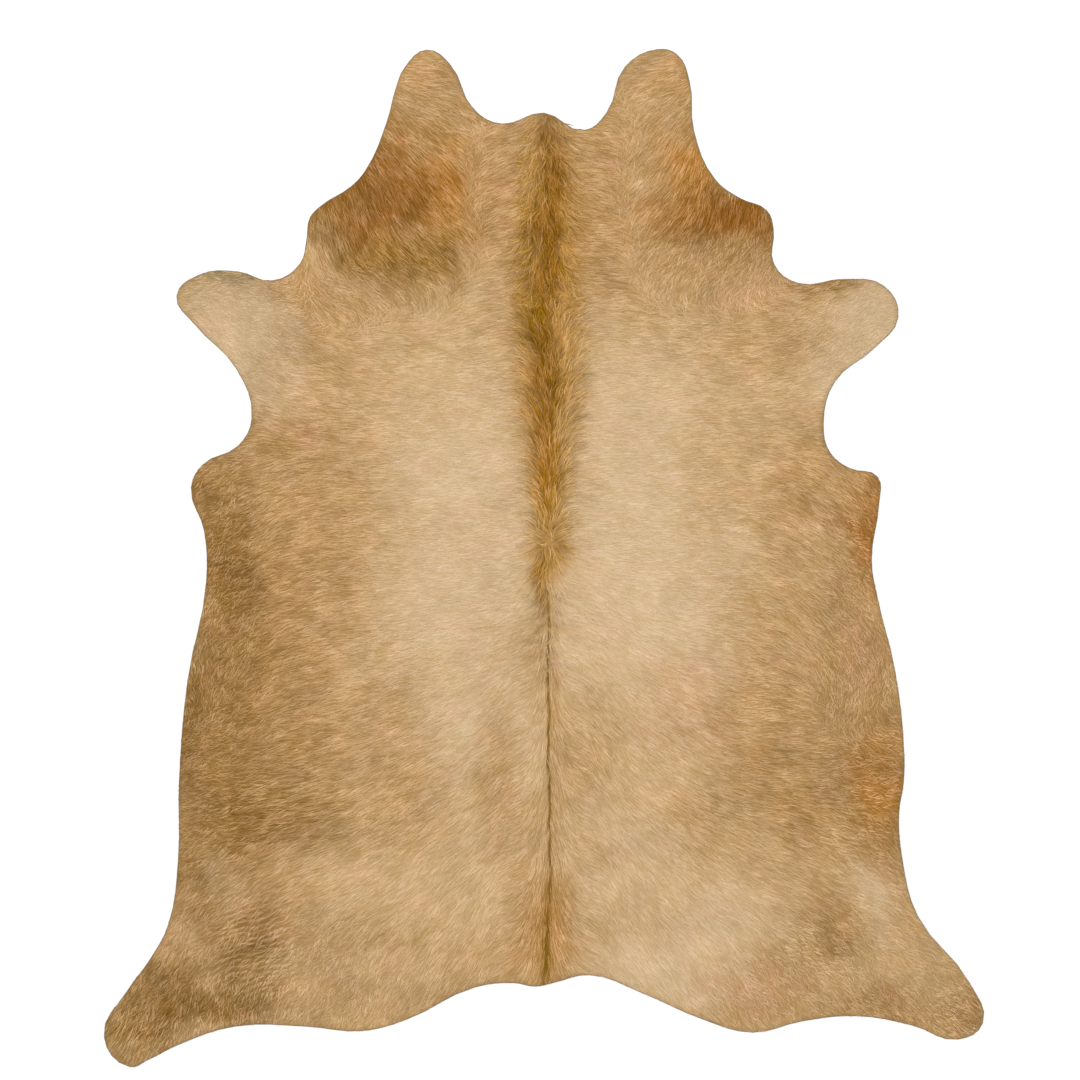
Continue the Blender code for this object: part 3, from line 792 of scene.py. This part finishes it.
def growLocks(name, roots, look, material, dice):
    count = len(roots)
    lock = look["lock"]
    levels = lock["levels"]
    length = dice.uniform(*look["length"], count) * mm
    width = dice.uniform(*look["width"], count) * mm
    rise = dice.uniform(*look["rise"], count) * mm
    crest, gather = rippleCrest(roots)
    roots = roots + gather
    centre, clumpTone = clumpOf(roots, look["clump"] * mm, 3.7)
    rough = roughness(roots)
    length *= 1 - look["shorten"] * rough
    rise = np.maximum(rise * (1 + look["lift"] * rough) + crest * ripple["lift"] * mm, 0.2 * mm)
    stray = np.radians(dice.normal(0, look["stray"], count) + look["clumpStray"] * (clumpTone * 2 - 1))
    stray *= 1 + look["tousle"] * rough
    wavier = smoothStep((roots[:, 1] - mane["wavyFrom"]) / mane["wavyOver"])
    wavy = mane["leastWave"] + (1 - mane["leastWave"]) * wavier
    curl = np.radians(dice.normal(0, look["curl"], count)) * wavy
    wave = np.radians(look["wave"]) * wavy
    phase = clumpTone * 6.3 + dice.normal(0, 0.5, count)
    shake = dice.normal(0, look["shake"] * mm, (count, 2))
    lay = hairLay(centre, shake)
    nearEdge = np.clip(1 - hideMap.read(hideMap.inside, roots) / (length * trimmed["from"]), 0, 1)
    length *= 1 - nearEdge * dice.uniform(0, trimmed["by"], count)

    for _ in range(trimmed["tries"]):    # a lock that would hang over the edge grows shorter
        path = [roots]
        for low, high in zip(levels[:-1], levels[1:]):
            way = hairLay(path[-1], shake)
            bend = stray + curl * high + wave * np.sin(phase + high * 5)
            way = np.stack((way[:, 0] * np.cos(bend) - way[:, 1] * np.sin(bend),
                            way[:, 0] * np.sin(bend) + way[:, 1] * np.cos(bend)), axis=1)
            step = path[-1] + way * (length * (high - low))[:, None]
            together = centre + lay * (length * high)[:, None]    # tips of one clump lean together
            path.append(step + (together - step) * look["pull"] * (high - low))
        over = hideMap.read(hideMap.inside, path[-1]) < -look["overhang"] * mm
        if not over.any():
            break
        length[over] *= trimmed["share"]
    keep = ~over
    path = np.stack(path, axis=1)[keep]
    width, rise, clumpTone, crest = width[keep], rise[keep], clumpTone[keep], crest[keep]
    count = len(path)

    along = np.array(levels)
    tangent = np.gradient(path, axis=1)
    tangent /= np.linalg.norm(tangent, axis=2)[..., None] + 1e-9
    sideways = np.stack((-tangent[..., 1], tangent[..., 0]), axis=2)
    ground = hideMap.read(hideMap.height, path) - look["sink"] * mm * (1 - along) + rise[:, None] * along ** 0.8
    for part in range(1, len(along)):    # the middle of a part stays over the leather too
        middle = hideMap.read(hideMap.height, (path[:, part - 1] + path[:, part]) / 2) + 0.1 * mm
        ground[:, part] += 2 * np.maximum(0, middle - (ground[:, part - 1] + ground[:, part]) / 2)

    level, shape = lock["level"], lock["shape"]
    flat = path[:, level] + sideways[:, level] * (shape[:, 1] * width[:, None])[..., None]
    up = ground[:, level] + shape[:, 2] * look["thick"] * mm
    points = np.concatenate((flat, up[..., None]), axis=2).reshape(-1, 3)
    corners = len(shape)
    faces = (lock["faces"][None] + (np.arange(count) * corners)[:, None, None]).reshape(-1, 3)
    own = dice.uniform(0, 1, count)
    # tone differs at random by clump and by lock; the ripple term adds painted light on crests and painted shade in
    # furrows
    tone = look["clumpShare"] * clumpTone + (1 - look["clumpShare"]) * own + ripple["tone"] * crest
    # the edge attribute darkens the outermost millimetres: the leather's dark cut line with painted shade along the
    # edge
    fromEdge = hideMap.read(hideMap.inside, flat)
    edge = 1 - trimmed["dim"] * (1 - smoothStep(fromEdge / (trimmed["wide"] * mm)))
    tonePlaces = path[:, :1] + (path[:, level] - path[:, :1]) * look["blend"]
    tonePlaces = np.concatenate((tonePlaces.reshape(-1, 2), np.zeros((len(points), 1))), axis=1)
    print(name, "locks", count, "triangles", len(faces))
    return lockObject(name, points, faces, (
        ("root", "FLOAT_VECTOR", tonePlaces),
        ("tone", "FLOAT", np.repeat(tone, corners)),
        ("along", "FLOAT", np.tile(shape[:, 0], count)),
        ("edge", "FLOAT", edge),
    ), material)


def addBakeMap(piece, twoSided=False):    # a map seen from above; the underside of the leather lies beside its top
    mesh = piece.data
    low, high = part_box("hide")
    places = np.empty(len(mesh.vertices) * 3, np.float32)
    mesh.vertices.foreach_get("co", places)
    corner = np.empty(len(mesh.loops), np.int32)
    mesh.loops.foreach_get("vertex_index", corner)
    places = places.reshape(-1, 3)[corner, :2]
    margin = 1.02
    spots = places / (max(high.x - low.x, high.y - low.y) * margin) + 0.5
    if twoSided:
        spots[:, 0] *= 0.5
        for face in mesh.polygons:
            if facesDown(face):
                spots[face.loop_start:face.loop_start + face.loop_total, 0] += 0.5
    layer = mesh.uv_layers.new(name="OFBake")
    layer.data.foreach_set("uv", spots.astype(np.float32).ravel())


# Build

buildTonesGroup()
skin = buildLeather()
print("leather map")
hideMap = LeatherMap(skin)
low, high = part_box("hide")
dice = np.random.default_rng(11)
hair = []

# The coat is trimmed along the hide's edge. Locks that are rooted within a share of their length from it lose up to
# "by" of that length, and those that still hang over are cut to a share again. The outermost millimetres are darker:
# the leather's dark cut line together with painted shade along the edge.
trimmed = {"from": 0.8, "by": 0.75, "share": 0.72, "tries": 7, "wide": 2.6, "dim": 0.45}

# Locks: length, width, thick, rise, sink, shake, clump, overhang, pitch and distances from something are millimetres.
# Stray, curl, wave and clumpStray are degrees, and where the mane or the parting ends is in metres along the spine.
coat = {
    "lock": modelLock([], 1),
    "length": (18, 34), "width": (1.4, 2.3), "thick": 0.45, "rise": (0.4, 1.3), "sink": 0.05, "shake": 9,
    "stray": 8, "curl": 0, "wave": 0, "clump": 12, "clumpStray": 10, "pull": 0.2, "clumpShare": 0.4,
    "overhang": 0.6, "tousle": 2.2, "lift": 1.32, "shorten": 0.45, "blend": 0.25, "pitch": 3.9,
    "fromEdge": 0.6, "fromParting": 1.6, "underMane": 0.4, "maneEnd": -0.05,
}
# A look's rootShade and tipShade are painted shade at a lock's root and painted shade or highlight at its tip
coatLook = {
    "paleDepth": 0.20, "darkDepth": 1.15, "rootShade": 0.85, "tipShade": 1.0, "darkWarmth": 1.16, "paleWarmth": 0.84,
    "hue": 0.5, "browner": 0, "roughness": 0.7, "gloss": 0.1,
}


def growCoat():
    print("coat")
    material = hairMaterial("cowhair", coatLook)
    middle = mane["whorl"][1]
    quarters = {
        "coat_left_fore": (low.x, middle, 0, high.y),
        "coat_right_fore": (0, middle, high.x, high.y),
        "coat_left_hind": (low.x, low.y, 0, middle),
        "coat_right_hind": (0, low.y, high.x, middle),
    }
    for name, area in quarters.items():
        roots = scatter(area, coat["pitch"] * mm, dice)
        off = roots[:, 0] - spineAt(roots[:, 1])
        underMane = np.abs(off) < maneReach(roots[:, 1], off > 0) * coat["underMane"]
        underMane &= roots[:, 1] > coat["maneEnd"]
        onParting = (np.abs(off) < coat["fromParting"] * mm) & (roots[:, 1] < partingHair["top"])
        inside = hideMap.read(hideMap.inside, roots) > coat["fromEdge"] * mm
        hair.append(growLocks(name, roots[inside & ~underMane & ~onParting], coat, material, dice))


maneHair = {
    "lock": modelLock([0.25, 0.5, 0.75], 1.1),
    "length": (28, 48), "width": (1.9, 3.6), "thick": 1.5, "rise": (1.0, 4.5), "sink": 0.4, "shake": 4,
    "stray": 8, "curl": 18, "wave": 28, "clump": 16, "clumpStray": 18, "pull": 0.85, "clumpShare": 0.35,
    "overhang": 1.5, "tousle": 0, "lift": 0, "shorten": 0, "blend": 0.35, "pitch": 4.1, "fromEdge": 1.0,
    "area": (-0.09, -0.10, 0.10, 0.90),
    "filled": (0.45, 0.85),    # the roots fill between these shares of the mane's width
    "end": -0.085,             # and narrow to a wedge below the whorl
    "wedge": 0.115,
}
# The mane has deep painted shade at its locks' roots and a painted highlight at their tips
maneLook = {
    "paleDepth": 0.55, "darkDepth": 0.85, "rootShade": 0.55, "tipShade": 1.11, "darkWarmth": 1.2, "paleWarmth": 0.92,
    "hue": 0.505, "browner": 0, "roughness": 0.6, "gloss": 0.1,
}


def growMane():
    print("mane")
    roots = scatter(maneHair["area"], maneHair["pitch"] * mm, dice)
    off = roots[:, 0] - spineAt(roots[:, 1])
    spread = np.abs(off) / maneReach(roots[:, 1], off > 0)
    narrowing = np.clip((roots[:, 1] - maneHair["end"]) / maneHair["wedge"], 0, 1)
    filled = dice.uniform(*maneHair["filled"], len(roots)) * narrowing
    inside = hideMap.read(hideMap.inside, roots) > maneHair["fromEdge"] * mm
    roots = roots[(spread < filled) & inside]
    hair.append(growLocks("mane", roots, maneHair, hairMaterial("mane_hair", maneLook), dice))


# A row of hair that lies straight down the parting, mixed towards olive and darkened along its whole length by
# painted shade of the parting's furrow
partingHair = {
    "lock": modelLock([], 1),
    "length": (12, 22), "width": (1.4, 2.2), "thick": 0.5, "rise": (0.9, 1.6), "sink": 0.0, "shake": 0,
    "stray": 3, "curl": 0, "wave": 0, "clump": 22, "clumpStray": 3, "pull": 0, "clumpShare": 0.6,
    "overhang": 0.6, "tousle": 0, "lift": 0, "shorten": 0, "blend": 0.5, "pitch": 1.9,
    "top": -0.072, "bottom": -0.872, "spread": 0.5,
}
partingLook = {
    "paleDepth": 0.5, "darkDepth": 0.7, "rootShade": 0.64, "tipShade": 0.8, "darkWarmth": 1.1, "paleWarmth": 1.0,
    "hue": 0.505, "browner": 0.9, "roughness": 0.7, "gloss": 0.1,
}


def growParting():
    print("parting")
    ys = np.arange(partingHair["bottom"], partingHair["top"], partingHair["pitch"] * mm)
    xs = spineAt(ys) + dice.normal(0, partingHair["spread"] * mm, len(ys))
    roots = np.stack((xs, ys), axis=1)
    hair.append(growLocks("parting", roots, partingHair, hairMaterial("parting_hair", partingLook), dice))


growCoat()
growMane()
growParting()

for piece in hair:
    addBakeMap(piece)
    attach(piece, "root")
addBakeMap(skin, twoSided=True)
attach(skin, "root")
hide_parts("hide")


# Studio

studio = {
    "floor": 12.0,
    "floorHeight": -0.0005,
    "floorTone": (0.94, 0.94, 0.94, 1),
    "cameraPlace": (-0.008, 0.036, 6.0),
    "frameWidth": 2.16,    # what the camera sees of the floor, in metres
    "sensor": 36,
    "sky": 0.94,
    "keyPlace": (-1.6, 2.0, 7.0),
    "keyPower": 205,
    "keySize": 2.5,
}


def buildStudio():
    print("studio")
    deselectAll()
    bpy.ops.mesh.primitive_plane_add(size=studio["floor"], location=(0, 0, studio["floorHeight"]))
    floor = bpy.context.active_object
    floor.name = "floor"
    floor.data.transform(floor.matrix_world)
    floor.matrix_world.identity()
    material, tree, surface = newMaterial("floor_white")
    surface.inputs["Base Color"].default_value = studio["floorTone"]
    surface.inputs["Roughness"].default_value = 0.9
    surface.inputs["Specular IOR Level"].default_value = 0.1
    floor.data.materials.append(material)

    world = bpy.data.worlds.new("studio")
    world.use_nodes = True
    world.node_tree.nodes["Background"].inputs["Color"].default_value = (1, 1, 1, 1)
    world.node_tree.nodes["Background"].inputs["Strength"].default_value = studio["sky"]
    bpy.context.scene.world = world

    bpy.ops.object.light_add(type="AREA", location=studio["keyPlace"])
    key = bpy.context.active_object
    key.name = "key_light"
    key.data.energy = studio["keyPower"]
    key.data.size = studio["keySize"]
    key.rotation_euler = (-Vector(studio["keyPlace"])).to_track_quat("-Z", "Y").to_euler()

    bpy.ops.object.camera_add(location=studio["cameraPlace"], rotation=(0, 0, 0))
    camera = bpy.context.active_object
    camera.name = "camera"
    camera.data.sensor_width = studio["sensor"]
    camera.data.lens = studio["sensor"] * studio["cameraPlace"][2] / studio["frameWidth"]
    bpy.context.scene.camera = camera
    bpy.context.scene.view_settings.view_transform = "Standard"


buildStudio()

print("done")
